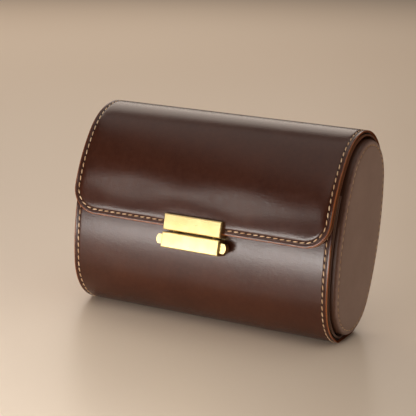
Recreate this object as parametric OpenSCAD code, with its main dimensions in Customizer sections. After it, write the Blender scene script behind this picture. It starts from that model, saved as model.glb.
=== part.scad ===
// Leather travel and display case for two watches: an oval hard shell that leans back,
// a stiff flap that wraps over the front, and a squeeze clasp with a push button each side.
// X runs along the case, -Y is the front with the clasp, +Z is up.
// The origin is on the ground under the middle of the case.

/* [Shell] */
// Length of the shell along X
case_len = 138; // [120:1:170]
// Long axis of the oval section
case_h = 103; // [96:0.5:112]
// Short axis of the oval section
case_d = 62; // [60:0.5:66]
// Radius of the round top and bottom of the section
cap_r = 27.5; // [26.5:0.1:28.5]
// Backward lean of the section from upright
lean = 12; // [8:1:18]
// Depth of the flat that the shell stands on
base_cut = 1.6; // [1.2:0.1:1.8]
// Height of the mouth above the middle of the section
mouth_h = 19.5; // [14:0.5:20]
// Thickness of the outer leather
leather_t = 1.3; // [1.1:0.1:1.5]
// Thickness of the stiffening board in the shell
board_t = 1; // [0.8:0.1:1.2]
// Thickness of the suede lining in the shell
lining_t = 0.7; // [0.5:0.1:0.9]
// How far the board stops short of each cut edge
board_inset = 0.8; // [0.4:0.1:1.5]

/* [End panels] */
// How far each end panel stands out past the shell
panel_proud = 3; // [2:0.5:5]
// Depth of the dark groove between shell and panel
panel_groove = 6; // [4:0.5:8]
// Width of the dark groove between shell and panel
panel_gap = 1.2; // [0.8:0.1:1.6]
// Thickness of the board flange that is glued into the shell
flange_t = 2; // [1.5:0.5:3]
// Radius of the rounded rim of the panel
rim_r = 2; // [1.4:0.1:2.6]
// Thickness of the suede on the inside of the panel
end_lining_t = 0.7; // [0.5:0.1:1]

/* [Flap] */
// Thickness of the board inside the flap
flap_board_t = 0.7; // [0.6:0.1:0.9]
// Thickness of the flap's lining
flap_lining_t = 0.6; // [0.5:0.1:0.7]
// Clear space between flap and shell at the fullest point
flap_lap = 1.2; // [1.1:0.1:1.5]
// How much larger the radius of the flap's round top is than the shell's
flap_cap_extra = 1; // [0.7:0.1:1.3]
// How far the flap's lower edge lies below the middle of the section
flap_low = 6.5; // [4:0.5:8]
// Radius of the flap's lower corners
corner_r = 13; // [8:1:18]
// How far the flap's lining stands out past the leather at the ends
ply_step = 0.3; // [0:0.1:0.5]
// Height of the flexing leather joint on each side of the hinge line
hinge_h = 10; // [6:1:12]

/* [Clasp] */
// Width of the clasp
clasp_w = 30.8; // [28:0.2:34]
// Height of the upper plate
plate_h = 7.7; // [7:0.1:9]
// Thickness of the upper plate in front of the flap
plate_t = 2.6; // [2.2:0.1:3.2]
// How far the upper plate reaches below the flap's edge
plate_drop = 1.5; // [1.3:0.1:2]
// Gap between the upper plate and the lock block
clasp_gap = 1.1; // [0.8:0.1:1.4]
// Height of the lock block
lock_h = 7.5; // [7.4:0.1:8.5]
// How far the lock block stands out past the upper plate's face
lock_proud = 0.3; // [0:0.1:0.6]
// Wall at the front of the lock block
lock_front_t = 1.2; // [1:0.1:1.4]
// Wall at the top of the lock block
lock_top_t = 0.8; // [0.7:0.1:0.9]
// Wall at the ends of the lock block
lock_end_t = 1.2; // [1:0.1:1.4]
// Bevel on the outer edges of the clasp
bevel = 0.45; // [0.3:0.05:0.6]
// Distance between the two latch pins
pin_span = 21.4; // [19:0.2:22]
// Diameter of a latch pin
pin_d = 1.6; // [1.4:0.1:1.7]
// Length of a latch pin
pin_len = 3.9; // [3.6:0.1:4]
// Length of the neck that the catch hooks behind
pin_neck = 0.7; // [0.5:0.1:0.8]
// Depth of the neck in the pin
neck_cut = 0.3; // [0.2:0.05:0.35]

/* [Buttons] */
// Height of a button
button_h = 4.6; // [4.2:0.1:4.8]
// Thickness of a button from front to back
button_t = 3.4; // [3:0.1:3.6]
// How far a button stands out of the block
button_out = 3.3; // [2.6:0.1:4]
// Clearance round a button and round the catch
slide_gap = 0.12; // [0.08:0.01:0.15]
// Outside diameter of a button spring
spring_d = 2; // [1.8:0.1:2.2]
// Wire diameter of a button spring
spring_wire = 0.35; // [0.3:0.05:0.4]

/* [Inside] */
// Thickness of the divider's board
divider_t = 1.6; // [1.2:0.1:2.4]
// Thickness of the suede on each face of the divider
divider_suede = 0.6; // [0.4:0.1:0.8]
// How far the divider's top lies below the mouth
divider_drop = 4; // [2:1:12]
// Thickness of a cushion from front to back
cushion_d = 37; // [32:1:39]
// Height of a cushion
cushion_h = 84; // [76:1:84]
// How far the cushions lie behind the middle of the section
cushion_back = 4; // [3:0.5:5]
// Clear space round a cushion
cushion_gap = 0.5; // [0.3:0.1:0.8]

/* [Hidden] */
$fn = 96;
side_fn = 360;
far = 300;
glue = 0.05;
// The flap's cap is this much fuller than tangent, so that it crosses the sides cleanly.
cap_swell = 0.03;
seam = 0.1;

// The oval of the shell: round caps joined by flat side arcs, all tangent.
half_h = case_h / 2;
half_d = case_d / 2;
cap_w = half_h - cap_r;
side_r = (cap_w * cap_w + half_d * half_d - cap_r * cap_r) / (2 * (half_d - cap_r));
side_off = side_r - half_d;
side_share = cap_w / (side_r - cap_r);
wall = leather_t + board_t + lining_t;

// The flap's outline: its back is the shell's own back arc, its front arc is fuller.
flap_t = leather_t + flap_board_t + flap_lining_t;
flap_reach = half_d + flap_lap + flap_t;
flap_cap_r = cap_r + flap_cap_extra;
flap_cap_w = half_h - flap_cap_r;
flap_cap_u = sqrt(pow(side_r - flap_cap_r, 2) - pow(flap_cap_w, 2)) - side_off;
flap_extra = flap_reach - flap_cap_r;
flap_off = (pow(flap_cap_u, 2) + pow(flap_cap_w, 2) - pow(flap_extra, 2))
  / (2 * (flap_extra + flap_cap_u));
flap_side_r = flap_reach + flap_off;

// Heights and places along the section's long axis.
plate_low = flap_low + plate_drop;
plate_top = plate_low - plate_h;
lock_top = plate_low + clasp_gap;
lock_low = lock_top + lock_h;
lock_face = flap_reach + plate_t + lock_proud;
clasp_face = flap_reach + plate_t;

// The section's middle, with the flat on the ground and the whole part centred over it.
ground = cap_w * cos(lean) + cap_r - base_cut;
front_y = lock_face * cos(lean) + lock_low * sin(lean);
back_y = side_r - side_off * cos(lean);
mid_y = (front_y - back_y) / 2;

// End panels.
panel_d = wall + panel_gap;
panel_in = case_len / 2 - panel_groove;
flange_in = panel_in - flange_t;
panel_out = case_len / 2 + panel_proud;
lining_in = flange_in - end_lining_t;

// Lock block and what moves in it.
lock_in_x = clasp_w / 2 - lock_end_t;
mech_top = lock_top + lock_top_t;
lock_floor_t = 0.9;
mech_low = lock_low - lock_floor_t;
mech_front = lock_face - lock_front_t;
plate_back_t = 1;
mech_back = half_d + 0.9;
pin_u = mech_back + 1.7;
pin_x = pin_span / 2;
pin_end = plate_low + pin_len;
button_mid = (mech_top + mech_low) / 2;
button_u = mech_front - slide_gap - button_t / 2 - 0.1;
flange_w = 0.7;
flange_lip = 0.25;
arm_top = pin_end + 0.4;
arm_low = button_mid + button_h / 2 - 0.4;
arm_mid = (arm_top + arm_low) / 2;
nose_t = 2;
nose_out = pin_x - pin_d / 2 - 0.15;
nose_top = plate_low + pin_len - pin_neck * 2;
post_x = 0.8;
screw_x = 5;
screw_d = 2;
screw_head_d = 4.4;
screw_head_t = 0.9;
rivet_x = 5.5;
rivet_d = 2;
rivet_w = (plate_top + flap_low) / 2;
backing_w = 24;
backing_h = 4.4;

// Cushions.
cell_in = divider_t / 2 + divider_suede;
cushion_x0 = cell_in + cushion_gap;
cushion_x1 = lining_in - cushion_gap;
cushion_half = (cushion_x1 - cushion_x0) / 2;
cushion_mid = (cushion_x1 + cushion_x0) / 2;
cushion_sink = sqrt(pow(cushion_d / 2 * sin(lean), 2) + pow(cushion_h / 2 * cos(lean), 2));
cushion_w = (cushion_sink + 0.35 - (ground - wall) + cushion_back * sin(lean)) / cos(lean);

leather_colour = [0.30, 0.20, 0.14];
edge_colour = [0.50, 0.30, 0.18];
suede_colour = [0.62, 0.50, 0.38];
board_colour = [0.55, 0.48, 0.38];
brass_colour = [0.88, 0.76, 0.48];
steel_colour = [0.70, 0.70, 0.72];

// Lays a child that is drawn along the section's own axes into the leaning case.
module leaned() {
  translate([0, mid_y, ground]) rotate([-lean, 0, 0]) children();
}

// Extrudes a section outline along X, about the middle of the case.
module along_x(len) {
  rotate([90, 0, 90]) linear_extrude(len, center = true) children();
}

// Solid oval of the shell, drawn in by inset, with the flat at its foot.
module oval_bar(len, inset) {
  joint_w = cap_w * (side_r - inset) / (side_r - cap_r);
  intersection() {
    leaned() union() {
      along_x(len) intersection() {
        translate([side_off, 0]) circle(side_r - inset, $fn = side_fn);
        translate([-side_off, 0]) circle(side_r - inset, $fn = side_fn);
        square([far, 2 * joint_w], center = true);
      }
      for (end = [-1, 1]) along_x(len) intersection() {
        translate([0, end * cap_w]) circle(cap_r - inset);
        translate([0, end * (far / 2 + cap_w)]) square(far, center = true);
      }
    }
    translate([0, 0, far / 2 + inset]) cube([len + 2, far, far], center = true);
  }
}

// Everything above a height on the section's long axis.
module above(height) {
  leaned() translate([0, 0, far / 2 + height]) cube([far, far, far], center = true);
}

// One layer of the shell, open at the mouth.
module shell_layer(len, outer, inner, top) {
  difference() {
    oval_bar(len, outer);
    oval_bar(len + 2, inner);
    above(top);
  }
}

// Everything behind the section's middle, from one height to another.
module back_band(low, high) {
  leaned() translate([-far / 2, 0, low]) cube([far, far, high - low]);
}

module screw_holes(d) {
  leaned() for (side = [-1, 1])
    translate([side * screw_x, -far / 2, -button_mid]) rotate([-90, 0, 0])
      cylinder(h = far / 2, d = d, $fn = 32);
}

module shell_leather() color(leather_colour) difference() {
  shell_layer(case_len, 0, leather_t, mouth_h);
  back_band(mouth_h - hinge_h, far / 2);
  screw_holes(screw_d);
}

module shell_board() color(board_colour) difference() {
  shell_layer(case_len - 2 * board_inset, leather_t, leather_t + board_t, mouth_h - board_inset);
  screw_holes(screw_d);
}

module shell_lining() color(suede_colour) difference() {
  shell_layer(case_len, leather_t + board_t, wall, mouth_h);
  screw_holes(screw_d);
}

// The hide of the back carried across the hinge line, where it flexes.
module hinge_leather() color(leather_colour) intersection() {
  difference() {
    oval_bar(case_len, 0);
    oval_bar(case_len + 2, leather_t - 3 * seam);
  }
  back_band(mouth_h - hinge_h + seam, mouth_h + hinge_h - seam);
}

// Flat oval outline of the shell's form, drawn in by inset.
module oval_outline(inset) {
  joint_w = cap_w * (side_r - inset) / (side_r - cap_r);
  intersection() {
    translate([side_off, 0]) circle(side_r - inset, $fn = side_fn);
    translate([-side_off, 0]) circle(side_r - inset, $fn = side_fn);
    square([far, 2 * joint_w], center = true);
  }
  for (end = [-1, 1]) intersection() {
    translate([0, end * cap_w]) circle(cap_r - inset);
    translate([0, end * (far / 2 + cap_w)]) square(far, center = true);
  }
}

// An oval pad standing up from the plane z = 0.
module oval_pad(inset, depth) {
  linear_extrude(depth) oval_outline(inset);
}

// Points of the same outline, for the pad whose rim is rounded.
side_steps = 10;
cap_steps = 20;
function arc_points(centre, r, from, to, steps) = [
  for (i = [0 : steps - 1]) let (a = from + (to - from) * i / steps) centre + r * [cos(a), sin(a)]
];
function oval_points(inset) = let (a = asin(side_share)) concat(
  arc_points([-side_off, 0], side_r - inset, -a, a, side_steps),
  arc_points([0, cap_w], cap_r - inset, a, 180 - a, cap_steps),
  arc_points([side_off, 0], side_r - inset, 180 - a, 180 + a, side_steps),
  arc_points([0, -cap_w], cap_r - inset, 180 + a, 360 - a, cap_steps)
);

// The pad with its outer rim rounded, in rings of points that step round the rim.
module rounded_pad(inset, depth, round_r) {
  count = 2 * (side_steps + cap_steps);
  levels = concat([[inset, 0]], [for (a = [0 : 15 : 90])
    [inset + round_r * (1 - cos(a)), depth - round_r * (1 - sin(a))]]);
  points = [for (l = levels, p = oval_points(l[0])) [p[0], p[1], l[1]]];
  top = (len(levels) - 1) * count;
  faces = concat(
    [[for (i = [0 : count - 1]) i]],
    [for (k = [0 : len(levels) - 2], i = [0 : count - 1]) let (j = (i + 1) % count)
      [k * count + i, (k + 1) * count + i, (k + 1) * count + j, k * count + j]],
    [[for (i = [count - 1 : -1 : 0]) top + i]]
  );
  polyhedron(points, faces);
}

// Stands a pad up at one end of the case, its face outwards.
module at_end(side, x) {
  leaned() mirror([side > 0 ? 0 : 1, 0, 0]) translate([x, 0, 0]) rotate([90, 0, 90]) children();
}

// Everything clear of the shell's floor by a small gap.
module over_floor(gap) {
  intersection() {
    children();
    translate([0, 0, far / 2 + wall + gap]) cube(far, center = true);
  }
}

module end_core(side) color(board_colour) union() {
  at_end(side, panel_in - glue) oval_pad(panel_d + leather_t, panel_out - leather_t - panel_in);
  translate([side * (flange_in + panel_in) / 2, 0, 0]) difference() {
    oval_bar(flange_t, wall + glue);
    above(mouth_h - board_inset);
  }
  over_floor(glue) at_end(side, flange_in) oval_pad(panel_d, flange_t);
}

module end_leather(side) color(leather_colour) over_floor(seam) difference() {
  at_end(side, panel_in) rounded_pad(panel_d, panel_out - panel_in, rim_r);
  at_end(side, panel_in - 1) linear_extrude(panel_out - leather_t + 1 + glue - panel_in)
    polygon(oval_points(panel_d + leather_t - glue));
}

module end_lining(side) color(suede_colour)
  over_floor(glue) at_end(side, lining_in) oval_pad(panel_d, end_lining_t);

module left_end_core() { end_core(-1); }
module left_end_leather() { end_leather(-1); }
module left_end_lining() { end_lining(-1); }
module right_end_core() { end_core(1); }
module right_end_leather() { end_leather(1); }
module right_end_lining() { end_lining(1); }

module divider_board() color(board_colour) difference() {
  oval_bar(divider_t, wall + glue);
  above(mouth_h - divider_drop);
}

module divider_suede() color(suede_colour) for (side = [-1, 1])
  translate([side * (divider_t + divider_suede) / 2, 0, 0]) difference() {
    oval_bar(divider_suede, wall + glue);
    above(mouth_h - divider_drop);
  }

// A cushion: oval in section, crowned at its ends and drawn in towards them.
rings = 13;
ring_pts = 36;
function crown(t) = pow(1 - pow(abs(t), 3.2), 1 / 2.6);
function cushion_ring(t) = let (s = 0.62 + 0.38 * crown(t)) [
  for (i = [0 : ring_pts - 1]) let (a = 360 * i / ring_pts)
    [t * cushion_half, s * cushion_d / 2 * cos(a), s * cushion_h / 2 * sin(a)]
];
module cushion(side) {
  stations = [for (k = [0 : rings - 1]) sin(180 * k / (rings - 1) - 90)];
  points = concat([for (t = stations) each cushion_ring(t)], [[-cushion_half, 0, 0], [cushion_half, 0, 0]]);
  last = rings * ring_pts;
  faces = concat(
    [for (k = [0 : rings - 2], i = [0 : ring_pts - 1]) let (j = (i + 1) % ring_pts)
      [k * ring_pts + i, k * ring_pts + j, (k + 1) * ring_pts + j, (k + 1) * ring_pts + i]],
    [for (i = [0 : ring_pts - 1]) [last, (i + 1) % ring_pts, i]],
    [for (i = [0 : ring_pts - 1]) [last + 1, last - ring_pts + i, last - ring_pts + (i + 1) % ring_pts]]
  );
  color(suede_colour) leaned() translate([side * cushion_mid, cushion_back, cushion_w])
    polyhedron(points, faces);
}
module left_cushion() { cushion(-1); }
module right_cushion() { cushion(1); }

// Solid inside the flap's outline, drawn in by inset.
module flap_bar(len, inset) {
  back_dir = [flap_cap_u + side_off, flap_cap_w] / (side_r - flap_cap_r);
  front_dir = [flap_cap_u - flap_off, flap_cap_w] / (flap_side_r - flap_cap_r);
  back_joint = [flap_cap_u, flap_cap_w] + (flap_cap_r - inset) * back_dir;
  front_joint = [flap_cap_u, flap_cap_w] + (flap_cap_r - inset) * front_dir;
  chord = back_joint - front_joint;
  leaned() union() {
    along_x(len) intersection() {
      translate([flap_off, 0]) circle(flap_side_r - inset, $fn = side_fn);
      translate([-side_off, 0]) circle(side_r - inset, $fn = side_fn);
      translate(front_joint) rotate(atan2(chord[1], chord[0])) translate([-far / 2, -far]) square(far);
    }
    along_x(len) intersection() {
      translate([flap_cap_u, flap_cap_w]) circle(flap_cap_r - inset + cap_swell);
      translate([-far / 2, flap_cap_w]) square(far);
    }
  }
}

// Where the flap is: over the top, down the front to its edge, with round lower corners.
module flap_reach_mask(len, edge, back_start) {
  leaned() difference() {
    along_x(len) polygon([
      [-far, edge - flap_low], [0, edge - flap_low], [0, back_start], [far, back_start], [far, far], [-far, far]
    ]);
    for (side = [-1, 1]) mirror([side > 0 ? 0 : 1, 0, 0])
      translate([len / 2 - corner_r, 0, edge - flap_low + corner_r]) rotate([90, 0, 0])
        linear_extrude(far) difference() {
          translate([0, -corner_r - 1]) square(corner_r + 1);
          circle(corner_r);
        }
  }
}

module flap_layer(len, outer, inner, edge, back_start) {
  intersection() {
    difference() {
      flap_bar(len, outer);
      flap_bar(len + 2, inner);
    }
    flap_reach_mask(len, edge, back_start);
  }
}

module rivet_holes() {
  leaned() for (side = [-1, 1])
    translate([side * rivet_x, -half_d, -rivet_w]) rotate([90, 0, 0]) cylinder(h = far, d = rivet_d, $fn = 32);
}

module flap_leather() color(leather_colour) difference() {
  flap_layer(case_len, 0, leather_t, 0, mouth_h + hinge_h);
  rivet_holes();
}

module flap_board() color(board_colour) difference() {
  flap_layer(case_len - 2 * board_inset, leather_t, leather_t + flap_board_t, board_inset, mouth_h + 2 * board_inset);
  backing_block(slide_gap);
}

module flap_lining() color(edge_colour)
  flap_layer(case_len + 2 * ply_step, leather_t + flap_board_t, flap_t, 0, mouth_h + 3 * seam);

// A block with bevelled edges on its front face: x wide, front to back, low to high.
module bevelled(width, face, back, top, low) {
  translate([-width / 2, -face, -low]) difference() {
    cube([width, face - back, low - top]);
    for (x = [0, width]) translate([x, 0, -1]) rotate([0, 0, 45])
      translate([-bevel / sqrt(2), -bevel / sqrt(2), 0]) cube([bevel * sqrt(2), bevel * sqrt(2), low - top + 2]);
    for (z = [0, low - top]) translate([-1, 0, z]) rotate([45, 0, 0])
      translate([0, -bevel / sqrt(2), -bevel / sqrt(2)]) cube([width + 2, bevel * sqrt(2), bevel * sqrt(2)]);
  }
}

module clasp_plate() color(brass_colour) difference() {
  union() {
    difference() {
      leaned() bevelled(clasp_w, clasp_face, half_d + flap_lap, plate_top, plate_low);
      flap_bar(clasp_w + 2, 0);
    }
    leaned() translate([-clasp_w / 2, bevel - clasp_face, -plate_low])
      cube([clasp_w, clasp_face - bevel - half_d - seam, plate_drop - seam]);
  }
  leaned() for (side = [-1, 1]) {
    translate([side * rivet_x, -half_d, -rivet_w]) rotate([90, 0, 0])
      cylinder(h = flap_reach + plate_t / 2 - half_d, d = rivet_d, $fn = 32);
    translate([side * pin_x, -pin_u, -plate_low - 1]) cylinder(h = plate_drop, d = pin_d, $fn = 32);
  }
}

// Seat of the backing plate inside the flap, grown by a clearance.
module backing_block(grow) {
  leaned() translate([-backing_w / 2 - grow, -flap_reach, -rivet_w - backing_h / 2 - grow])
    cube([backing_w + 2 * grow, flap_reach - half_d, backing_h + 2 * grow]);
}

module clasp_backing() color(brass_colour) difference() {
  intersection() {
    backing_block(0);
    difference() {
      flap_bar(backing_w + 2, leather_t);
      flap_bar(backing_w + 4, leather_t + flap_board_t);
    }
  }
  rivet_holes();
}

module clasp_rivets() color(brass_colour) leaned() for (side = [-1, 1])
  translate([side * rivet_x, leather_t + flap_board_t / 2 - flap_reach, -rivet_w]) rotate([90, 0, 0])
    cylinder(h = leather_t + flap_board_t / 2 + plate_t / 2, d = rivet_d, $fn = 32);

// Latch pin: a shank, a neck for the catch and a head below it.
module latch_pin(side) color(brass_colour) leaned() translate([side * pin_x, -pin_u, -pin_end])
  rotate_extrude($fn = 32) polygon([
    [0, 0], [pin_d / 2 - neck_cut, 0], [pin_d / 2, neck_cut], [pin_d / 2, pin_neck],
    [pin_d / 2 - neck_cut, pin_neck], [pin_d / 2 - neck_cut, 2 * pin_neck],
    [pin_d / 2, 2 * pin_neck], [pin_d / 2, pin_len + plate_drop - 1], [0, pin_len + plate_drop - 1]
  ]);
module left_latch_pin() { latch_pin(-1); }
module right_latch_pin() { latch_pin(1); }

// The lock block: a box open at the back, seated on the shell's curve.
module lock_case() color(brass_colour) difference() {
  leaned() bevelled(clasp_w, lock_face, half_d - 2, lock_top, lock_low);
  oval_bar(clasp_w + 2, 0);
  leaned() {
    translate([-lock_in_x, -mech_front, -mech_low])
      cube([2 * lock_in_x, mech_front, mech_low - mech_top]);
    translate([-clasp_w / 2 - 1, -button_u - button_t / 2 - slide_gap, -button_mid - button_h / 2 - slide_gap])
      cube([clasp_w + 2, button_t + 2 * slide_gap, button_h + 2 * slide_gap]);
    for (side = [-1, 1])
      translate([side * pin_x - pin_d / 2 - 0.3, -pin_u - pin_d / 2 - 1.9, -mech_top - 1])
        cube([pin_d + 0.6, pin_d + 2.2, lock_top_t + 2]);
  }
}

// Plate that closes the back of the block, with the post between the springs.
module lock_back_plate() color(brass_colour) leaned() difference() {
  union() {
    translate([-lock_in_x + slide_gap, -mech_back, -mech_low + slide_gap])
      cube([2 * (lock_in_x - slide_gap), plate_back_t, mech_low - mech_top - 2 * slide_gap]);
    translate([-post_x, -button_u - spring_d / 2, -arm_low])
      cube([2 * post_x, button_u + spring_d / 2 - mech_back + plate_back_t / 2, arm_low - arm_top]);
  }
  for (side = [-1, 1]) translate([side * screw_x, -mech_back - 1, -button_mid]) rotate([-90, 0, 0])
    cylinder(h = plate_back_t + 2, d = screw_d, $fn = 32);
}

// Two screws from inside the case, heads on the lining.
module lock_screws() color(steel_colour) leaned() for (side = [-1, 1])
  translate([side * screw_x, -mech_back, -button_mid]) rotate([-90, 0, 0]) union() {
    cylinder(h = screw_seat + screw_head_t / 2, d = screw_d, $fn = 32);
    translate([0, 0, screw_seat]) cylinder(h = screw_head_t, d = screw_head_d, $fn = 32);
  }
screw_seat = mech_back + side_off - sqrt(pow(side_r - wall, 2) - pow(button_mid + screw_head_d / 2, 2)) + glue;

module spring(side) color(steel_colour) leaned()
  mirror([side > 0 ? 0 : 1, 0, 0]) translate([post_x, -button_u, -arm_mid]) rotate([0, 90, 0]) difference() {
    cylinder(h = nose_out - nose_t - post_x, d = spring_d, $fn = 32);
    translate([0, 0, -1]) cylinder(h = nose_out, d = spring_d - 2 * spring_wire, $fn = 32);
  }
module left_spring() { spring(-1); }
module right_spring() { spring(1); }

// Push button: a head with a rounded outer end and a lip that keeps it in the block.
module button(side) color(brass_colour) leaned() mirror([side > 0 ? 0 : 1, 0, 0]) union() {
  translate([lock_in_x - slide_gap - flange_w, 0, 0]) intersection() {
    translate([0, -button_u - button_t / 2, -button_mid - button_h / 2])
      cube([flange_w + slide_gap + lock_end_t + button_out, button_t, button_h]);
    union() {
      cube([2 * (flange_w + lock_end_t), 4 * far, 4 * far], center = true);
      translate([flange_w + slide_gap + lock_end_t + button_out - button_h / 2 - 1, -button_u, -button_mid])
        rotate([90, 0, 0]) cylinder(h = 2 * button_t, r = button_h / 2 + 1, center = true);
    }
  }
  translate([lock_in_x - slide_gap - flange_w, -button_u - button_t / 2, -button_mid - button_h / 2 - flange_lip])
    cube([flange_w, button_t, button_h + 2 * flange_lip]);
}
module left_button() { button(-1); }
module right_button() { button(1); }

// Catch: an arm under the latch pin with a nose that rises beside the pin's neck.
module catch(side) color(steel_colour) leaned() mirror([side > 0 ? 0 : 1, 0, 0]) union() {
  translate([nose_out - nose_t, -button_u - 1.2, -arm_low])
    cube([lock_in_x - slide_gap - flange_w - nose_out + nose_t, 2.4, arm_low - arm_top]);
  translate([nose_out - nose_t, -button_u - 1.2, -arm_low]) cube([nose_t, 2.4, arm_low - nose_top]);
}
module left_catch() { catch(-1); }
module right_catch() { catch(1); }

shell_leather();
shell_board();
shell_lining();
hinge_leather();
left_end_core();
left_end_leather();
left_end_lining();
right_end_core();
right_end_leather();
right_end_lining();
divider_board();
divider_suede();
left_cushion();
right_cushion();
lock_case();
lock_back_plate();
lock_screws();
left_spring();
right_spring();
left_button();
left_catch();
right_button();
right_catch();
flap_leather();
flap_board();
flap_lining();
clasp_plate();
clasp_backing();
clasp_rivets();
left_latch_pin();
right_latch_pin();
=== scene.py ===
from bisect import bisect_right
from math import asin, atan2, cos, exp, hypot, pi, radians, sin, sqrt

import bmesh
import bpy
from mathutils import Matrix, Vector


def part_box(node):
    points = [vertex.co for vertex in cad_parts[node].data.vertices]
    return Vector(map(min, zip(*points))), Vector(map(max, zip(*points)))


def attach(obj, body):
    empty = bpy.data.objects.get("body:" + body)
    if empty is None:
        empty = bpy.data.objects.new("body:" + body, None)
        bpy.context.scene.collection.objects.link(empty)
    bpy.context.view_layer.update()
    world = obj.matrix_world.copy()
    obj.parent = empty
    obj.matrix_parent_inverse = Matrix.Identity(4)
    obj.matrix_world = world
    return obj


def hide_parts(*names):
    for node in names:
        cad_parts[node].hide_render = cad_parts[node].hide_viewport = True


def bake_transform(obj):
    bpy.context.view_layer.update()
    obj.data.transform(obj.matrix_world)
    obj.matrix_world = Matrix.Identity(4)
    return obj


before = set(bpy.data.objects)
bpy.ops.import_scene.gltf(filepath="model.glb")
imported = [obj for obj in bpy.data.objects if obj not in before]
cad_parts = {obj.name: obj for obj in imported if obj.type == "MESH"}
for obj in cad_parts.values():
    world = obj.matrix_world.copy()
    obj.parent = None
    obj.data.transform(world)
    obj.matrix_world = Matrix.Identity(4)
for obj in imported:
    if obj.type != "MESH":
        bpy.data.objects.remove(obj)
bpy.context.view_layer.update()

# Camera.
# It stands in front of the case, a little to its right and above it, with a long lens.
bpy.ops.object.select_all(action="DESELECT")
bpy.ops.object.camera_add(
    location=(0.29497, -0.60305, 0.22273), rotation=(radians(75.922), radians(-1.830), radians(27.183))
)
camera = bpy.context.object
camera.name = "camera"
camera.data.sensor_width = 36
camera.data.lens = 120.48
bpy.context.scene.camera = camera
bpy.context.scene.view_settings.view_transform = "Standard"


# Floor.
# A plain pale sheet of board that the case stands on, with a soft sheen.
def material(name, **sockets):
    made = bpy.data.materials.new(name)
    made.use_nodes = True
    shader = made.node_tree.nodes["Principled BSDF"]
    for socket, value in sockets.items():
        shader.inputs[socket.replace("_", " ")].default_value = value
    return made, made.node_tree, shader


def put(tree, kind, values=None, **settings):
    node = tree.nodes.new(kind)
    for name, value in settings.items():
        setattr(node, name, value)
    for socket, value in (values or {}).items():
        if isinstance(value, bpy.types.NodeSocket):
            tree.links.new(value, node.inputs[socket])
        else:
            node.inputs[socket].default_value = value
    return node


def ramp(tree, value, low, high, out_low=0.0, out_high=1.0):
    node = put(tree, "ShaderNodeMapRange", {0: value, 1: low, 2: high, 3: out_low, 4: out_high})
    return node.outputs[0]


def blend_colours(tree, factor, first, second):
    node = put(tree, "ShaderNodeMix", {0: factor, 6: first, 7: second}, data_type="RGBA")
    return node.outputs[2]


floor_finish, tree, shader = material("floor_board", Roughness=0.36)
place = put(tree, "ShaderNodeTexCoord").outputs["Object"]
cloudy = put(tree, "ShaderNodeTexNoise", {"Vector": place, "Scale": 1.1, "Detail": 1.0}).outputs[0]
tree.links.new(
    blend_colours(tree, ramp(tree, cloudy, 0.35, 0.65), (0.88, 0.74, 0.59, 1), (0.93, 0.80, 0.65, 1)),
    shader.inputs["Base Color"],
)
bpy.ops.object.select_all(action="DESELECT")
bpy.ops.mesh.primitive_plane_add(size=12, location=(0, 0, 0))
floor = bpy.context.object
floor.name = "floor"
floor.data.materials.append(floor_finish)


# Lights.
# A large soft lamp behind on the left and a wide one above give the shade. Three small ones in front
# give the highlights on the clasp, along the flap and along the foot. The room is even and pale.
def soft_lamp(name, place, aim, width, height, watts, colour, spread=180):
    bpy.ops.object.select_all(action="DESELECT")
    turn = (Vector(aim) - Vector(place)).to_track_quat("-Z", "Y").to_euler()
    bpy.ops.object.light_add(type="AREA", location=place, rotation=turn)
    lamp = bpy.context.object
    lamp.name = name
    lamp.data.shape = "RECTANGLE"
    lamp.data.size = width
    lamp.data.size_y = height
    lamp.data.energy = watts
    lamp.data.color = colour
    lamp.data.spread = radians(spread)
    lamp.visible_camera = False


soft_lamp("key_lamp", (-0.95, 0.95, 0.90), (0, 0, 0.05), 1.6, 1.0, 9.0, (1, 0.87, 0.76))
soft_lamp("top_box", (0.10, -0.20, 1.20), (0, 0, 0.05), 1.8, 1.8, 7.6, (1, 0.93, 0.86))
soft_lamp("clasp_box", (-0.345, -0.744, 0.179), (0, 0, 0.04), 0.16, 0.12, 0.035, (1, 0.98, 0.94))
soft_lamp("flap_box", (-0.34, -0.70, 0.335), (0, 0, 0.05), 0.26, 0.05, 0.46, (1, 0.93, 0.86))
soft_lamp("low_strip", (-0.055, -0.235, 0.024), (0, 0, 0.024), 0.25, 0.040, 0.085, (1, 0.96, 0.92), 70)

room = bpy.data.worlds.new("room")
bpy.context.scene.world = room
room.use_nodes = True
tree = room.node_tree
for node in list(tree.nodes):
    tree.nodes.remove(node)
light_path = put(tree, "ShaderNodeLightPath")
seen = put(tree, "ShaderNodeBackground", {"Color": (0.86, 0.73, 0.58, 1), "Strength": 1.0})
felt = put(tree, "ShaderNodeBackground", {"Color": (1, 0.86, 0.76, 1), "Strength": 0.10})
chosen = put(
    tree, "ShaderNodeMixShader",
    {0: light_path.outputs["Is Camera Ray"], 1: felt.outputs[0], 2: seen.outputs[0]},
)
put(tree, "ShaderNodeOutputWorld", {"Surface": chosen.outputs[0]})


# Shell leather.
# One hide of vegetable tanned leather, 1.3 mm thick, glued round the oval board shell. Its ends are
# cut flush, creased with a hot iron, burnished round and sewn through all the layers.
SHELL_LEATHER_T = 1.3


def node_group(name, inputs, outputs):
    group = bpy.data.node_groups.new(name, "ShaderNodeTree")
    for label, default in inputs.items():
        group.interface.new_socket(label, in_out="INPUT", socket_type="NodeSocketFloat").default_value = default
    for label in outputs:
        group.interface.new_socket(label, in_out="OUTPUT", socket_type="NodeSocketFloat")
    return group, put(group, "NodeGroupInput").outputs, put(group, "NodeGroupOutput").inputs


def maths(tree, operation, first, second=0.0):
    return put(tree, "ShaderNodeMath", {0: first, 1: second}, operation=operation).outputs[0]


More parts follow.
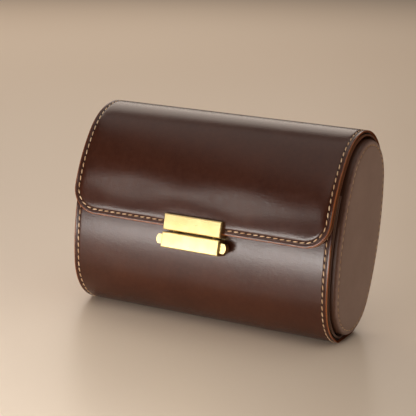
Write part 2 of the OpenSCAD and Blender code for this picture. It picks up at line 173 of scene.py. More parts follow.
# Grain: fine pores, slow changes of tone and slow changes of gloss, all placed on the object.
grain, given, wanted = node_group("hide_grain", {"Pores per metre": 1500.0}, ["Height", "Tone", "Gloss"])
place = put(grain, "ShaderNodeTexCoord").outputs["Object"]
pores = put(grain, "ShaderNodeTexVoronoi", {"Vector": place, "Scale": given[0]}).outputs["Distance"]
fine = put(grain, "ShaderNodeTexNoise", {"Vector": place, "Scale": 2600.0, "Detail": 3.0}).outputs[0]
hair = put(
    grain, "ShaderNodeTexNoise", {"Vector": place, "Scale": 420.0, "Detail": 5.0, "Roughness": 0.65}
).outputs[0]
slow = put(
    grain, "ShaderNodeTexNoise", {"Vector": place, "Scale": 38.0, "Detail": 4.0, "Roughness": 0.6}
).outputs[0]
height = maths(grain, "ADD", maths(grain, "MULTIPLY", pores, 0.55), maths(grain, "MULTIPLY", fine, 0.6))
tone = maths(grain, "ADD", maths(grain, "MULTIPLY", slow, 0.6), maths(grain, "MULTIPLY", hair, 0.4))
grain.links.new(height, wanted["Height"])
grain.links.new(ramp(grain, tone, 0.36, 0.62), wanted["Tone"])
grain.links.new(ramp(grain, hair, 0.3, 0.7), wanted["Gloss"])

# Burnish: a mask for the worn and polished skin beside a cut edge, from the mesh's own distance to it. On the
# end panels the same mask lays painted shade into the groove at the rim.
edge_burnish_and_groove_shade, given, wanted = node_group("edge_burnish_and_groove_shade", {"Solid to": 0.25, "Gone by": 0.8}, ["Mask"])
distance = put(edge_burnish_and_groove_shade, "ShaderNodeAttribute", attribute_name="edge").outputs["Fac"]
place = put(edge_burnish_and_groove_shade, "ShaderNodeTexCoord").outputs["Object"]
rub = put(edge_burnish_and_groove_shade, "ShaderNodeTexNoise", {"Vector": place, "Scale": 500.0, "Detail": 3.0}).outputs[0]
wavering = maths(edge_burnish_and_groove_shade, "ADD", distance, ramp(edge_burnish_and_groove_shade, rub, 0.3, 0.7, -0.15, 0.15))
edge_burnish_and_groove_shade.links.new(ramp(edge_burnish_and_groove_shade, wavering, given["Solid to"], given["Gone by"], 1.0, 0.0), wanted["Mask"])


def hide(name, dark, light, edge, solid_to, gone_by, pores, rough, relief):
    made, tree, shader = material(name, Specular_IOR_Level=0.33, Coat_Weight=0.18, Coat_Roughness=0.34)
    skin = put(tree, "ShaderNodeGroup", node_tree=grain)
    skin.inputs["Pores per metre"].default_value = pores
    # The edge mask carries the burnished colour of cut edges, and on the end panels painted shade in the
    # groove.
    burnish_and_shade_mask = put(tree, "ShaderNodeGroup", node_tree=edge_burnish_and_groove_shade)
    burnish_and_shade_mask.inputs["Solid to"].default_value = solid_to
    burnish_and_shade_mask.inputs["Gone by"].default_value = gone_by
    body = blend_colours(tree, skin.outputs["Tone"], (*dark, 1), (*light, 1))
    tree.links.new(blend_colours(tree, burnish_and_shade_mask.outputs["Mask"], body, (*edge, 1)), shader.inputs["Base Color"])
    polish = ramp(tree, skin.outputs["Gloss"], 0, 1, rough - 0.05, rough + 0.06)
    tree.links.new(polish, shader.inputs["Roughness"])
    bump = put(
        tree, "ShaderNodeBump", {"Height": skin.outputs["Height"], "Strength": relief, "Distance": 0.0001}
    )
    tree.links.new(bump.outputs[0], shader.inputs["Normal"])
    return made


brown_hide = hide(
    "brown_hide", dark=(0.042, 0.0098, 0.0037), light=(0.062, 0.0162, 0.0065), edge=(0.330, 0.095, 0.025),
    solid_to=0.2, gone_by=0.75, pores=1500, rough=0.20, relief=0.45,
)

# Sizes are in millimetres. The oval of the shell leans back. Its middle is at MID_Y and GROUND, its
# long sides are arcs of SIDE_R set off by SIDE_OFF, and its round ends are arcs of CAP_R about CAP_W.
LEAN = radians(12)
MID_Y, GROUND = 3.784, 49.3755
HALF_LENGTH = 69.0
SIDE_R, SIDE_OFF, CAP_R, CAP_W = 111.536, 80.536, 27.5, 24.0
SIDE_TURN = asin(CAP_W / (SIDE_R - CAP_R))
HINGE_LOW, MOUTH = 9.5, 19.5
HIDDEN_BY_FLAP = 24


# A point of the section, u towards the back across the oval and w up its long axis.
def leaned(u, w):
    return MID_Y + u * cos(LEAN) + w * sin(LEAN), GROUND - u * sin(LEAN) + w * cos(LEAN)


# Stations along an arc of the section: place and outward normal. The table presses the lowest ones flat.
def arc(centre, radius, start, end, steps):
    stations = []
    for k in range(steps + 1):
        a = start + (end - start) * k / steps
        y, z = leaned(centre[0] + radius * cos(a), centre[1] + radius * sin(a))
        ny, nz = cos(a) * cos(LEAN) + sin(a) * sin(LEAN), sin(a) * cos(LEAN) - cos(a) * sin(LEAN)
        if z < 0:
            z, ny, nz = 0.0, 0.0, -1.0
        stations.append((y, z, ny, nz))
    return stations


# The same stations, each with the length of hide up to it.
def paced(stations):
    run, length = [], 0.0
    for k, station in enumerate(stations):
        if k:
            length += hypot(station[0] - stations[k - 1][0], station[1] - stations[k - 1][1])
        run.append((length, *station))
    return run


# The point at x across and s along the hide, raised by a height in millimetres, and its normal.
def on_hide(run, x, s, height):
    k = min(max(bisect_right(run, (s,)) - 1, 0), len(run) - 2)
    a, b = run[k], run[k + 1]
    t = (s - a[0]) / (b[0] - a[0]) if b[0] > a[0] else 0.0
    y, z, ny, nz = (a[i] + t * (b[i] - a[i]) for i in (1, 2, 3, 4))
    size = hypot(ny, nz)
    normal = Vector((0, ny / size, nz / size))
    return (Vector((x, y, z)) + normal * height) / 1000, normal


# Height of the finished skin at a distance from its cut edge: rounded over, creased by the iron, and
# pulled in by the thread.
EDGE_ROUND, CREASE_IN, SEAM_IN = 0.4, 1.45, 2.45
CREASE_DEPTH, CREASE_WIDTH = 0.16, 0.16
CHANNEL_DEPTH, CHANNEL_WIDTH = 0.30, 0.42


def edge_form(d):
    drop = EDGE_ROUND - sqrt(max(EDGE_ROUND**2 - (EDGE_ROUND - d) ** 2, 0)) if d < EDGE_ROUND else 0.0
    crease = CREASE_DEPTH * exp(-(((d - CREASE_IN) / CREASE_WIDTH) ** 2))
    channel = CHANNEL_DEPTH * exp(-(((d - SEAM_IN) / CHANNEL_WIDTH) ** 2))
    return -(drop + crease + channel)


# Rows of the mesh, close together where the edge, the crease and the seam shape the skin.
EDGE_STEPS = [
    0, 0.05, 0.14, 0.26, 0.4, 0.65, 0.95, 1.15, 1.3, 1.45, 1.6, 1.75, 1.95, 2.15, 2.3, 2.45, 2.6, 2.8, 3.05,
    3.4, 4, 5, 6.5, 9,
]


# Rows over a length, close together beside each cut edge and a step apart elsewhere.
def spread(length, near_start, near_end, step):
    low = EDGE_STEPS if near_start else [0]
    high = [length - d for d in reversed(EDGE_STEPS)] if near_end else [length]
    count = max(int((high[0] - low[-1]) / step), 1)
    between = [low[-1] + (high[0] - low[-1]) * k / count for k in range(1, count)]
    return low + between + high


# A sheet wrapped along a run: its skin follows the form, and its thickness goes inwards.
def wrapped_hide(name, run, across, along, shape, corner, thickness, covered=1e9):
    bpy.ops.object.select_all(action="DESELECT")
    bpy.ops.mesh.primitive_grid_add(x_subdivisions=len(across) - 1, y_subdivisions=len(along) - 1, size=2)
    piece = bpy.context.object
    piece.name = piece.data.name = name
    distances = []
    for v in piece.data.vertices:
        x = across[round((v.co.x + 1) / 2 * (len(across) - 1))] - HALF_LENGTH
        s = along[round((v.co.y + 1) / 2 * (len(along) - 1))]
        d = HALF_LENGTH - abs(x)
        if corner:
            # The lower edge is cut too, and the square corners of the grid are bent round.
            d = min(d, s)
            a, b = (abs(x) - HALF_LENGTH + corner) / corner, (corner - s) / corner
            if a > 0 and b > 0:
                reach, turn = (a, pi / 4 * b / a) if a >= b else (b, pi / 2 - pi / 4 * a / b)
                x = (HALF_LENGTH - corner + corner * reach * cos(turn)) * (1 if x > 0 else -1)
                s = corner - corner * reach * sin(turn)
        v.co = on_hide(run, x, s, shape(x, s, d))[0]
        # Under the flap the burnished colour of the ends fades out to the dark body colour, as painted shade
        # under the flap.
        distances.append(d + max(s - covered, 0) * 0.3)
    piece.data.attributes.new("edge", "FLOAT", "POINT").data.foreach_set("value", distances)
    middle = piece.data.polygons[len(piece.data.polygons) // 2]
    outwards = on_hide(run, 0, along[len(along) // 2], 0)[1]
    if middle.normal.dot(outwards) < 0:
        bpy.ops.object.mode_set(mode="EDIT")
        bpy.ops.mesh.select_all(action="SELECT")
        bpy.ops.mesh.flip_normals()
        bpy.ops.object.mode_set(mode="OBJECT")
    wall = piece.modifiers.new("wall", "SOLIDIFY")
    wall.thickness = thickness / 1000
    wall.offset = -1
    bpy.ops.object.modifier_apply(modifier="wall")
    bpy.ops.object.shade_smooth_by_angle(angle=radians(50))
    return piece


shell_run = paced(
    arc((-SIDE_OFF, 0), SIDE_R, asin(HINGE_LOW / SIDE_R), -SIDE_TURN, 24)
    + arc((0, -CAP_W), CAP_R, -SIDE_TURN, SIDE_TURN - pi, 90)[1:]
    + arc((SIDE_OFF, 0), SIDE_R, pi + SIDE_TURN, pi - asin(MOUTH / SIDE_R), 30)[1:]
)
shell_length = shell_run[-1][0]


def shell_form(x, s, d):
    return edge_form(d)


shell_cover = wrapped_hide(
    "shell_cover", shell_run, spread(2 * HALF_LENGTH, True, True, 5), spread(shell_length, False, False, 2),
    shell_form, corner=0, thickness=SHELL_LEATHER_T, covered=shell_length - HIDDEN_BY_FLAP,
)
shell_cover.data.materials.append(brown_hide)
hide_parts("shell_leather")
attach(shell_cover, "case")

# Back hinge leather.
# The same hide carried across the hinge line. It is free of board here, where the hide of the real case flexes
# as the flap opens.
HINGE_HIGH, HINGE_LEATHER_T = 29.5, 1.0
hinge_run = paced(arc((-SIDE_OFF, 0), SIDE_R, asin(HINGE_HIGH / SIDE_R), asin(HINGE_LOW / SIDE_R), 24))
hinge_length = hinge_run[-1][0]
hinge_cover = wrapped_hide(
    "hinge_cover", hinge_run, spread(2 * HALF_LENGTH, True, True, 5), spread(hinge_length, False, False, 1),
    shell_form, corner=0, thickness=HINGE_LEATHER_T,
)
hinge_cover.data.materials.append(brown_hide)
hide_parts("hinge_leather")
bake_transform(hinge_cover)

# Flap leather.
# The hide goes on over the top and down the front over a thin padding, so that it swells a little
# inside its stitches. The lower corners are cut round.
# Its front is an arc of FLAP_R set off by FLAP_OFF, and its round top an arc of FLAP_CAP_R about FLAP_CAP.
FLAP_R, FLAP_OFF, FLAP_CAP_R, FLAP_CAP = 78.925, 44.125, 28.5, (-0.749, 23.0)
FLAP_LOW, CORNER, FLAP_LEATHER_T = 6.5, 13.0, 1.3
front_turn = atan2(FLAP_CAP[1], FLAP_OFF - FLAP_CAP[0])
back_turn = asin(FLAP_CAP[1] / (SIDE_R - FLAP_CAP_R))
flap_run = paced(
    arc((FLAP_OFF, 0), FLAP_R, pi + asin(FLAP_LOW / FLAP_R), pi - front_turn, 40)
    + arc(FLAP_CAP, FLAP_CAP_R, pi - front_turn, back_turn, 90)[1:]
    + arc((-SIDE_OFF, 0), SIDE_R, back_turn, asin(HINGE_HIGH / SIDE_R), 4)[1:]
)
flap_length = flap_run[-1][0]
# The padding starts inside the seam, lies evenly over the front, thins out over the top where the hide
# is drawn tight, and is pressed flat under the clasp plate.
PADDING, PADDED_FROM, PADDED_TO = 0.45, 2.6, 42
# Soft hollows and swellings in it: place across, place up from the lower edge, reach both ways, height.
SWELLS = [
    (-37, 15, 14, 6.5, -0.28), (21, 15, 16, 6.5, -0.31), (-8, 15, 8, 6, 0.16), (47, 15, 8, 6, 0.12),
    (-60, 9, 5, 4.5, -0.12), (60, 9, 5, 4.5, -0.12),
]


def flap_form(x, s, d):
    padding = PADDING * (1 - exp(-max(d - PADDED_FROM, 0) / 1.4)) * exp(-max(s - PADDED_TO, 0) / 14)
    swell = sum(h * exp(-(((x - cx) / rx) ** 2) - ((s - cs) / rs) ** 2) for cx, cs, rx, rs, h in SWELLS)
    under_plate = exp(-((x / 17) ** 6)) * exp(-max(s - 6, 0) / 4)
    return edge_form(d) + (padding + swell * min(max(d - 3, 0) / 4, 1)) * (1 - under_plate)


flap_cover = wrapped_hide(
    "flap_cover", flap_run, spread(2 * HALF_LENGTH, True, True, 2.5), spread(flap_length, True, False, 2),
    flap_form, corner=CORNER, thickness=FLAP_LEATHER_T,
)
flap_cover.data.materials.append(brown_hide)
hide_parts("flap_leather")
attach(flap_cover, "flap")

# Saddle stitching.
# Waxed linen thread in pricked holes, 3.38 mm apart and 2.45 mm in from the edges. It holds the
# leather, the board and the lining together.
PITCH = 3.38
STITCH_LENGTH, STITCH_WIDTH, STITCH_HEIGHT = 2.48, 0.66, 0.60
STITCH_LIFT, STITCH_SLANT = 0.07, 0.13
HOLE_R, HOLE_HEIGHT = 0.42, 0.03
thread_finish, tree, shader = material("linen_thread", Roughness=0.62, Sheen_Weight=0.15, Sheen_Roughness=0.4)
place = put(tree, "ShaderNodeTexCoord").outputs["Object"]
twist = put(tree, "ShaderNodeTexNoise", {"Vector": place, "Scale": 2600.0, "Detail": 2.0}).outputs[0]
soil = put(tree, "ShaderNodeTexNoise", {"Vector": place, "Scale": 130.0, "Detail": 2.0}).outputs[0]
tree.links.new(
    blend_colours(tree, ramp(tree, soil, 0.35, 0.65), (0.62, 0.37, 0.19, 1), (0.90, 0.66, 0.42, 1)),
    shader.inputs["Base Color"],
)
bump = put(tree, "ShaderNodeBump", {"Height": twist, "Strength": 0.5, "Distance": 0.0001})
tree.links.new(bump.outputs[0], shader.inputs["Normal"])

# Painted shade of the stitch holes: each hole is a near-black disc on the skin, varied at random.
hole_shade_finish, tree, shader = material("pricked_hole", Roughness=0.8)
place = put(tree, "ShaderNodeTexCoord").outputs["Object"]
hole_shade_mottle = put(tree, "ShaderNodeTexNoise", {"Vector": place, "Scale": 900.0}).outputs[0]
tree.links.new(
    blend_colours(tree, hole_shade_mottle, (0.004, 0.002, 0.001, 1), (0.016, 0.006, 0.003, 1)), shader.inputs["Base Color"]
)

# One stitch and one hole are modelled, then copied to every place along a seam. The hole is a thin dark disc,
# painted shade in place of a cut hole.
bpy.ops.object.select_all(action="DESELECT")
bpy.ops.mesh.primitive_uv_sphere_add(segments=8, ring_count=6, radius=1)
bpy.ops.transform.rotate(value=pi / 2, orient_axis="Y", center_override=(0, 0, 0))
bpy.ops.object.transform_apply(location=False, rotation=True, scale=False)
stitch = bpy.context.object
for v in stitch.data.vertices:
    v.co.x *= STITCH_LENGTH / 2000
    v.co.y = v.co.y * STITCH_WIDTH / 2000 + v.co.x * STITCH_SLANT
    v.co.z = v.co.z * STITCH_HEIGHT / 2000 + STITCH_LIFT / 1000
bpy.ops.object.select_all(action="DESELECT")
bpy.ops.mesh.primitive_circle_add(vertices=10, radius=HOLE_R / 1000, fill_type="NGON")
hole = bpy.context.object
bpy.ops.object.mode_set(mode="EDIT")
bpy.ops.mesh.select_all(action="SELECT")
bpy.ops.mesh.extrude_region_move(TRANSFORM_OT_translate={"value": (0, 0, HOLE_HEIGHT / 1000)})
bpy.ops.mesh.normals_make_consistent(inside=False)
bpy.ops.object.mode_set(mode="OBJECT")


# One piece made of a copy of the pattern at every spot, turned along the seam.
def copies(name, pattern, spots, finish, body):
    mesh = bpy.data.meshes.new(name)
    bm = bmesh.new()
    for place, along, normal in spots:
        side = normal.cross(along).normalized()
        turn = Matrix((along, side, normal)).transposed().to_4x4()
        turn.translation = place
        before = len(bm.verts)
        bm.from_mesh(pattern.data)
        bm.verts.ensure_lookup_table()
        for v in bm.verts[before:]:
            v.co = turn @ v.co
            # A stitch under the foot is pressed flat by the case's weight.
            v.co.z = max(v.co.z, 0.0)
    for face in bm.faces:
        face.smooth = True
    bm.to_mesh(mesh)
    bm.free()
    piece = bpy.data.objects.new(name, mesh)
    bpy.context.scene.collection.objects.link(piece)
    mesh.materials.append(finish)
    if body:
        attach(piece, body)
    return piece


# Spots for stitches and holes along a path that is drawn on the flat hide.
def seam(run, flat_path, form, hidden=None):
    lengths = [0.0]
    for a, b in zip(flat_path, flat_path[1:]):
        lengths.append(lengths[-1] + hypot(b[0] - a[0], b[1] - a[1]))
    count = round(lengths[-1] / PITCH)
    stitches, holes = [], []

    def at(distance):
        k = min(max(bisect_right(lengths, distance) - 1, 0), len(flat_path) - 2)
        t = (distance - lengths[k]) / (lengths[k + 1] - lengths[k])
        x, s = (flat_path[k][i] + t * (flat_path[k + 1][i] - flat_path[k][i]) for i in (0, 1))
        return (x, s), on_hide(run, x, s, form(x, s, SEAM_IN) + 0.02)

    for k in range(count + 1):
        for spots, shift in ((holes, 0.0), (stitches, 0.5)):
            distance = (k + shift) * lengths[-1] / count
            if distance > lengths[-1]:
                continue
            flat, (place, normal) = at(distance)
            ahead = at(min(distance + 0.4, lengths[-1]))[1][0] - at(max(distance - 0.4, 0))[1][0]
            if hidden and hidden(*flat):
                continue
            along = (ahead - normal * ahead.dot(normal)).normalized()
            spots.append((place, along, normal))
    return stitches, holes


SEAM_X = HALF_LENGTH - SEAM_IN
corner_in = CORNER - SEAM_IN
flap_seam = [(-SEAM_X, flap_length), (-SEAM_X, CORNER)]
for k in range(1, 13):
    a = pi + pi / 2 * k / 12
    flap_seam.append((-HALF_LENGTH + CORNER + corner_in * cos(a), CORNER + corner_in * sin(a)))
flap_seam += [(-x, s) for x, s in reversed(flap_seam)]
# The clasp plate covers the middle of the seam.
stitches, holes = seam(flap_run, flap_seam, flap_form, hidden=lambda x, s: abs(x) < 15.6 and s < 6)
copies("flap_stitching", stitch, stitches, thread_finish, "flap")
copies("flap_stitch_holes", hole, holes, hole_shade_finish, "flap")

shell_stitches, shell_holes, hinge_stitches, hinge_holes = [], [], [], []
for side in (-1, 1):
    stitches, holes = seam(shell_run, [(side * SEAM_X, 0), (side * SEAM_X, shell_length - 1)], shell_form)
    shell_stitches += stitches
    shell_holes += holes
    stitches, holes = seam(hinge_run, [(side * SEAM_X, 0), (side * SEAM_X, hinge_length)], shell_form)
    hinge_stitches += stitches
    hinge_holes += holes[1:-1]
copies("shell_stitching", stitch, shell_stitches, thread_finish, "case")
copies("shell_stitch_holes", hole, shell_holes, hole_shade_finish, "case")
for piece in (
    copies("hinge_stitching", stitch, hinge_stitches, thread_finish, None),
    copies("hinge_stitch_holes", hole, hinge_holes, hole_shade_finish, None),
):
    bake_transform(piece)

# End panels.
# An oval board at each end, covered with leather that is drawn over its rim. The face is sewn round
# 2.5 mm in from the rim, and the rim in the groove is painted dark as shade, fading over the face.
# The edge colour here is painted shade in the groove at the rim, not a burnish.
end_hide = hide(
    "end_hide", dark=(0.305, 0.190, 0.155), light=(0.370, 0.240, 0.200), edge=(0.080, 0.030, 0.015),
    solid_to=0.35, gone_by=1.3, pores=1500, rough=0.48, relief=0.5,
)
PANEL_INSET, PANEL_IN, RIM_END, PANEL_POINTS = 4.2, 63.05, 70.0, 168
PANEL_SEAM_IN, PANEL_SEAM_X = 2.5, 71.68
# Rings of the mesh, from the turned-in edge over the rim to the face: inset from the rim, place along x.
RINGS = [
    (1.25, PANEL_IN), (0, PANEL_IN), (0, 66), (0, 69), (0, RIM_END), (0.14, 70.7), (0.5, 71.3), (1.0, 71.72),
    (1.5, 71.93), (1.9, 71.98), (2.15, 71.86), (2.35, 71.72), (2.5, 71.66), (2.65, 71.72), (2.85, 71.86),
    (3.15, 71.99), (3.6, 72.06), (5, 72.1), (8, 72.14), (13, 72.2), (18, 72.2),
]


# The way out of the oval at a point of its rim.
def outward(u, w):
    if abs(w) > CAP_W * 1.02 or abs(w) > sin(SIDE_TURN) * hypot(abs(u) + SIDE_OFF, w):
        centre = (0, CAP_W if w > 0 else -CAP_W)
    else:
        centre = (-SIDE_OFF if u > 0 else SIDE_OFF, 0)
    size = hypot(u - centre[0], w - centre[1])
    return (u - centre[0]) / size, (w - centre[1]) / size


# Points evenly round the oval, drawn in by an inset, and the length round it.
def oval(inset, count):
    turns = [
        ((-SIDE_OFF, 0), SIDE_R - inset, -SIDE_TURN, SIDE_TURN),
        ((0, CAP_W), CAP_R - inset, SIDE_TURN, pi - SIDE_TURN),
        ((SIDE_OFF, 0), SIDE_R - inset, pi - SIDE_TURN, pi + SIDE_TURN),
        ((0, -CAP_W), CAP_R - inset, pi + SIDE_TURN, 2 * pi - SIDE_TURN),
    ]
    total = sum(r * (b - a) for _, r, a, b in turns)
    points = []
    for k in range(count):
        left = total * k / count
        for centre, r, a, b in turns:
            if left <= r * (b - a):
                angle = a + left / r
                points.append((centre[0] + r * cos(angle), centre[1] + r * sin(angle)))
                break
            left -= r * (b - a)
    return points, total


for side, label in ((-1, "left"), (1, "right")):
    bpy.ops.object.select_all(action="DESELECT")
    bpy.ops.mesh.primitive_circle_add(vertices=PANEL_POINTS, radius=1, fill_type="NOTHING")
    panel = bpy.context.object
    panel.name = panel.data.name = label + "_end_cover"
    rim = oval(PANEL_INSET, PANEL_POINTS)[0]
    bpy.ops.object.mode_set(mode="EDIT")
    bpy.ops.mesh.select_all(action="SELECT")
    for k, (inset, x) in enumerate(RINGS):
        if k:
            bpy.ops.mesh.extrude_region_move(TRANSFORM_OT_translate={"value": (0, 0, 0)})
        bm = bmesh.from_edit_mesh(panel.data)
        bm.verts.index_update()
        ring = sorted((v for v in bm.verts if v.select), key=lambda v: v.index)
        for v, (u, w) in zip(ring, rim):
            nu, nw = outward(u, w)
            y, z = leaned(u - nu * inset, w - nw * inset)
            # Inside the shell the panel stops above the floor of the shell, and outside it at the table.
            v.co = Vector((side * x, y, max(z, 3.2 if x < 69.5 else 0.2))) / 1000
        bmesh.update_edit_mesh(panel.data)
    bpy.ops.mesh.edge_face_add()
    bpy.ops.mesh.select_all(action="SELECT")
    bpy.ops.mesh.normals_make_consistent(inside=False)
    bpy.ops.object.mode_set(mode="OBJECT")
    # The rim is painted dark as shade in the groove, and the painted shade fades over the face.
    distances = []
    for k in range(len(panel.data.vertices)):
        inset, x = RINGS[k // PANEL_POINTS]
        distances.append(0.0 if x <= RIM_END else inset + 0.1)
    panel.data.attributes.new("edge", "FLOAT", "POINT").data.foreach_set("value", distances)
    bpy.ops.object.shade_smooth_by_angle(angle=radians(50))
    panel.data.materials.append(end_hide)
    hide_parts(label + "_end_leather")
    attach(panel, "case")
    around = oval(PANEL_INSET + PANEL_SEAM_IN, 10)[1]
    ring = oval(PANEL_INSET + PANEL_SEAM_IN, 2 * round(around / PITCH))[0]
    stitches, holes = [], []
    for k, (u, w) in enumerate(ring):
        y, z = leaned(u, w)
        behind, ahead = leaned(*ring[k - 1]), leaned(*ring[(k + 1) % len(ring)])
        along = Vector((0, ahead[0] - behind[0], ahead[1] - behind[1])).normalized()
        spot = (Vector((side * PANEL_SEAM_X, y, z)) / 1000, along, Vector((side, 0, 0)))
        (stitches if k % 2 else holes).append(spot)
    copies(label + "_end_stitching", stitch, stitches, thread_finish, "case")
    copies(label + "_end_stitch_holes", hole, holes, hole_shade_finish, "case")
for pattern in (stitch, hole):
    bpy.data.objects.remove(pattern)

# Boards.
# Dense grey-brown binder's board stiffens the shell, the flap, the end panels and the divider. It
# stops short of the cut edges, where only a dark line of it shows between the plies.
board_finish, tree, shader = material("dyed_board", Roughness=0.85)
place = put(tree, "ShaderNodeTexCoord").outputs["Object"]
layers = put(tree, "ShaderNodeTexNoise", {"Vector": place, "Scale": 1400.0, "Detail": 3.0}).outputs[0]
tree.links.new(
    blend_colours(tree, layers, (0.008, 0.0045, 0.003, 1), (0.030, 0.016, 0.010, 1)),
    shader.inputs["Base Color"],
)
bump = put(tree, "ShaderNodeBump", {"Height": layers, "Strength": 0.5, "Distance": 0.0001})
tree.links.new(bump.outputs[0], shader.inputs["Normal"])


# The CAD solid keeps its shape and takes a finish.
def refinish(node, finish):
    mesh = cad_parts[node].data
    mesh.materials.clear()
    mesh.materials.append(finish)


for node in ("shell_board", "flap_board", "left_end_core", "right_end_core", "divider_board"):
    refinish(node, board_finish)

# Linings.
# Thin suede in the shell, on the end panels and on the divider, and a smooth tan calf inside the
# flap. At the ends of the case their cut edges are burnished with the leather's.
suede_nap, given, wanted = node_group("suede_nap", {"Fibres per metre": 2600.0}, ["Height", "Brushed"])
place = put(suede_nap, "ShaderNodeTexCoord").outputs["Object"]
fibre = put(
    suede_nap, "ShaderNodeTexNoise", {"Vector": place, "Scale": given[0], "Detail": 4.0, "Roughness": 0.7}
).outputs[0]
stroke = put(
    suede_nap, "ShaderNodeTexNoise", {"Vector": place, "Scale": 55.0, "Detail": 3.0, "Distortion": 0.6}
).outputs[0]
suede_nap.links.new(fibre, wanted["Height"])
suede_nap.links.new(ramp(suede_nap, stroke, 0.38, 0.62), wanted["Brushed"])


def suede(name, dark, light, edge):
    made, tree, shader = material(name, Roughness=0.92, Sheen_Weight=0.35, Sheen_Roughness=0.5)
    nap = put(tree, "ShaderNodeGroup", node_tree=suede_nap)
    body = blend_colours(tree, nap.outputs["Brushed"], (*dark, 1), (*light, 1))
    if edge:
        place = put(tree, "ShaderNodeSeparateXYZ", {0: put(tree, "ShaderNodeTexCoord").outputs["Object"]})
        end = ramp(tree, maths(tree, "ABSOLUTE", place.outputs[0]), 0.0682, 0.0688)
        body = blend_colours(tree, end, body, (*edge, 1))
    tree.links.new(body, shader.inputs["Base Color"])
    bump = put(tree, "ShaderNodeBump", {"Height": nap.outputs["Height"], "Strength": 0.5, "Distance": 0.0002})
    tree.links.new(bump.outputs[0], shader.inputs["Normal"])
    return made


sand_suede = suede("sand_suede", (0.40, 0.285, 0.185), (0.50, 0.37, 0.25), (0.155, 0.048, 0.016))
for node in ("shell_lining", "left_end_lining", "right_end_lining", "divider_suede"):
    refinish(node, sand_suede)

calf, tree, shader = material("tan_calf", Specular_IOR_Level=0.45)
skin = put(tree, "ShaderNodeGroup", node_tree=grain)
place = put(tree, "ShaderNodeSeparateXYZ", {0: put(tree, "ShaderNodeTexCoord").outputs["Object"]})
end = ramp(tree, maths(tree, "ABSOLUTE", place.outputs[0]), 0.0686, 0.0691)
body = blend_colours(tree, skin.outputs["Tone"], (0.27, 0.115, 0.050, 1), (0.35, 0.165, 0.078, 1))
tree.links.new(blend_colours(tree, end, body, (0.200, 0.060, 0.018, 1)), shader.inputs["Base Color"])
tree.links.new(ramp(tree, skin.outputs["Gloss"], 0, 1, 0.5, 0.62), shader.inputs["Roughness"])
bump = put(tree, "ShaderNodeBump", {"Height": skin.outputs["Height"], "Strength": 0.25, "Distance": 0.0001})
tree.links.new(bump.outputs[0], shader.inputs["Normal"])
refinish("flap_lining", calf)

# Clasp.
# Solid brass, milled and satin brushed along its length: a plate riveted to the flap with two latch
# pins, and a lock block screwed to the shell with a push button at each end.
brass, tree, shader = material("satin_brass", Metallic=1.0)
place = put(tree, "ShaderNodeTexCoord").outputs["Object"]
drawn = put(tree, "ShaderNodeMapping", {"Vector": place, "Scale": (60, 3500, 3500)}).outputs[0]
brushing = put(
    tree, "ShaderNodeTexNoise", {"Vector": drawn, "Scale": 1.0, "Detail": 4.0, "Roughness": 0.6}
).outputs[0]
touch = put(tree, "ShaderNodeTexNoise", {"Vector": place, "Scale": 160.0, "Detail": 3.0}).outputs[0]
tree.links.new(
    blend_colours(tree, ramp(tree, touch, 0.35, 0.65), (0.78, 0.60, 0.26, 1), (0.84, 0.67, 0.32, 1)),
    shader.inputs["Base Color"],
)
tree.links.new(ramp(tree, brushing, 0.3, 0.7, 0.27, 0.32), shader.inputs["Roughness"])
bump = put(tree, "ShaderNodeBump", {"Height": brushing, "Strength": 0.05, "Distance": 0.00005})
tree.links.new(bump.outputs[0], shader.inputs["Normal"])
for node in (
    "lock_case", "lock_back_plate", "left_button", "right_button", "clasp_plate", "clasp_backing",
    "clasp_rivets", "left_latch_pin", "right_latch_pin",
):
    refinish(node, brass)

# Steel parts of the lock.
# Two catches, a coil spring behind each and two screws, bright zinc plated.
steel, tree, shader = material("plated_steel", Metallic=1.0)
place = put(tree, "ShaderNodeTexCoord").outputs["Object"]
drawn = put(tree, "ShaderNodeMapping", {"Vector": place, "Scale": (100, 2500, 2500)}).outputs[0]
scratches = put(tree, "ShaderNodeTexNoise", {"Vector": drawn, "Scale": 1.0, "Detail": 3.0}).outputs[0]
tree.links.new(
    blend_colours(tree, scratches, (0.50, 0.51, 0.53, 1), (0.66, 0.67, 0.69, 1)), shader.inputs["Base Color"]
)
tree.links.new(ramp(tree, scratches, 0.3, 0.7, 0.24, 0.40), shader.inputs["Roughness"])
for node in ("lock_screws", "left_spring", "right_spring", "left_catch", "right_catch"):
    refinish(node, steel)

# Watch cushions.
# Two soft pillows that a watch is buckled round, filled with fibre and covered in the same suede,
# with a piped seam at each end. Each fills one side of the case.
CUSHION_DEPTH, CUSHION_HEIGHT = 37.0, 84.0
SLACK, FILLING_CAP, PIPED_AT, CORD_R = 0.0016, 0.0013, 0.80, 0.0009
cushion_suede = suede("cushion_suede", (0.47, 0.345, 0.235), (0.57, 0.435, 0.31), None)
boxes = {label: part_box(label + "_cushion") for label in ("left", "right")}
low, high = boxes["left"]
centre = (low + high) / 2
half_x = (high.x - low.x) / 2
half_u, half_w = CUSHION_DEPTH / 2000, CUSHION_HEIGHT / 2000


# A point of the cover, at a share t of the way from the middle to an end and an angle round it. The
# cover is fullest in the middle and drawn in towards the ends.
def pillow_point(t, angle):
    crown = (1 - abs(t) ** 3.2) ** (1 / 2.6) if abs(t) < 1 else 0.0
    share = 0.62 + 0.38 * crown
    u, w = (half_u - SLACK) * share * cos(angle), (half_w - SLACK) * share * sin(angle)
    return Vector((t * (half_x - SLACK), u * cos(LEAN) + w * sin(LEAN), -u * sin(LEAN) + w * cos(LEAN)))


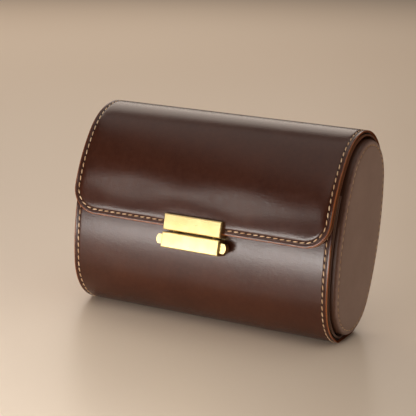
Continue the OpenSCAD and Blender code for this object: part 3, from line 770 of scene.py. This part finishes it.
bpy.ops.object.select_all(action="DESELECT")
bpy.ops.mesh.primitive_uv_sphere_add(segments=64, ring_count=40, radius=1)
pillow = bpy.context.object
pillow.name = pillow.data.name = "left_pillow"
for v in pillow.data.vertices:
    t, out = v.co.z, hypot(v.co.x, v.co.y)
    angle = atan2(v.co.y, v.co.x)
    spot = pillow_point(t, angle)
    closing = min(1.0, out / 0.32)
    v.co = Vector((spot.x, spot.y * closing, spot.z * closing)) + centre
bpy.ops.object.mode_set(mode="EDIT")
bpy.ops.mesh.select_all(action="SELECT")
bpy.ops.mesh.normals_make_consistent(inside=False)
bpy.ops.object.mode_set(mode="OBJECT")
remesh = pillow.modifiers.new("even", "REMESH")
remesh.mode = "VOXEL"
remesh.voxel_size = 0.004
bpy.ops.object.modifier_apply(modifier="even")
rest = [v.co.copy() for v in pillow.data.vertices]
cloth = pillow.modifiers.new("filling", "CLOTH")
cloth.settings.use_pressure = True
cloth.settings.uniform_pressure_force = 4.0
cloth.settings.effector_weights.gravity = 0.0
cloth.settings.quality = 5
for number in range(1, 21):
    bpy.context.scene.frame_set(number)
swollen = pillow.evaluated_get(bpy.context.evaluated_depsgraph_get()).to_mesh()
moved = [v.co.copy() for v in swollen.vertices]
pillow.modifiers.remove(cloth)
bpy.context.scene.frame_set(1)
for v, start, end in zip(pillow.data.vertices, rest, moved):
    step = end - start
    v.co = start + step * min(1.0, FILLING_CAP / max(step.length, 1e-9))
smooth = pillow.modifiers.new("smooth", "SMOOTH")
smooth.factor = 0.5
smooth.iterations = 4
bpy.ops.object.modifier_apply(modifier="smooth")
finer = pillow.modifiers.new("finer", "SUBSURF")
finer.levels = finer.render_levels = 1
bpy.ops.object.modifier_apply(modifier="finer")
bpy.ops.object.shade_smooth()
pillow.data.materials.append(cushion_suede)

# The piped seam runs round the pillow near each end.
bpy.ops.object.select_all(action="DESELECT")
TUBE_R = 0.1
bpy.ops.mesh.primitive_torus_add(major_segments=96, minor_segments=8, major_radius=1, minor_radius=TUBE_R)
piping = bpy.context.object
piping.name = piping.data.name = "left_piping"
for v in piping.data.vertices:
    angle = atan2(v.co.y, v.co.x)
    radial = hypot(v.co.x, v.co.y) - 1
    base = pillow_point(PIPED_AT, angle)
    out = Vector((0, base.y, base.z)).normalized()
    v.co = base + out * (radial * CORD_R / TUBE_R - 0.0002) + Vector((v.co.z * CORD_R / TUBE_R, 0, 0)) + centre
bpy.ops.object.select_all(action="DESELECT")
piping.select_set(True)
bpy.context.view_layer.objects.active = piping
bpy.ops.object.duplicate()
other = bpy.context.object
for v in other.data.vertices:
    v.co.x = 2 * centre.x - v.co.x
piping.select_set(True)
bpy.context.view_layer.objects.active = piping
bpy.ops.object.join()
bpy.ops.object.mode_set(mode="EDIT")
bpy.ops.mesh.select_all(action="SELECT")
bpy.ops.mesh.normals_make_consistent(inside=False)
bpy.ops.object.mode_set(mode="OBJECT")
bpy.ops.object.shade_smooth()
piping.data.materials.append(cushion_suede)
for piece in (pillow, piping):
    twin = piece.copy()
    twin.data = piece.data.copy()
    twin.name = twin.data.name = piece.name.replace("left", "right")
    bpy.context.scene.collection.objects.link(twin)
    for v in twin.data.vertices:
        v.co.x += boxes["right"][0].x - boxes["left"][0].x
    for made, label in ((piece, "left"), (twin, "right")):
        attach(made, "case")
        if made.name.endswith("pillow"):
            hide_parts(label + "_cushion")
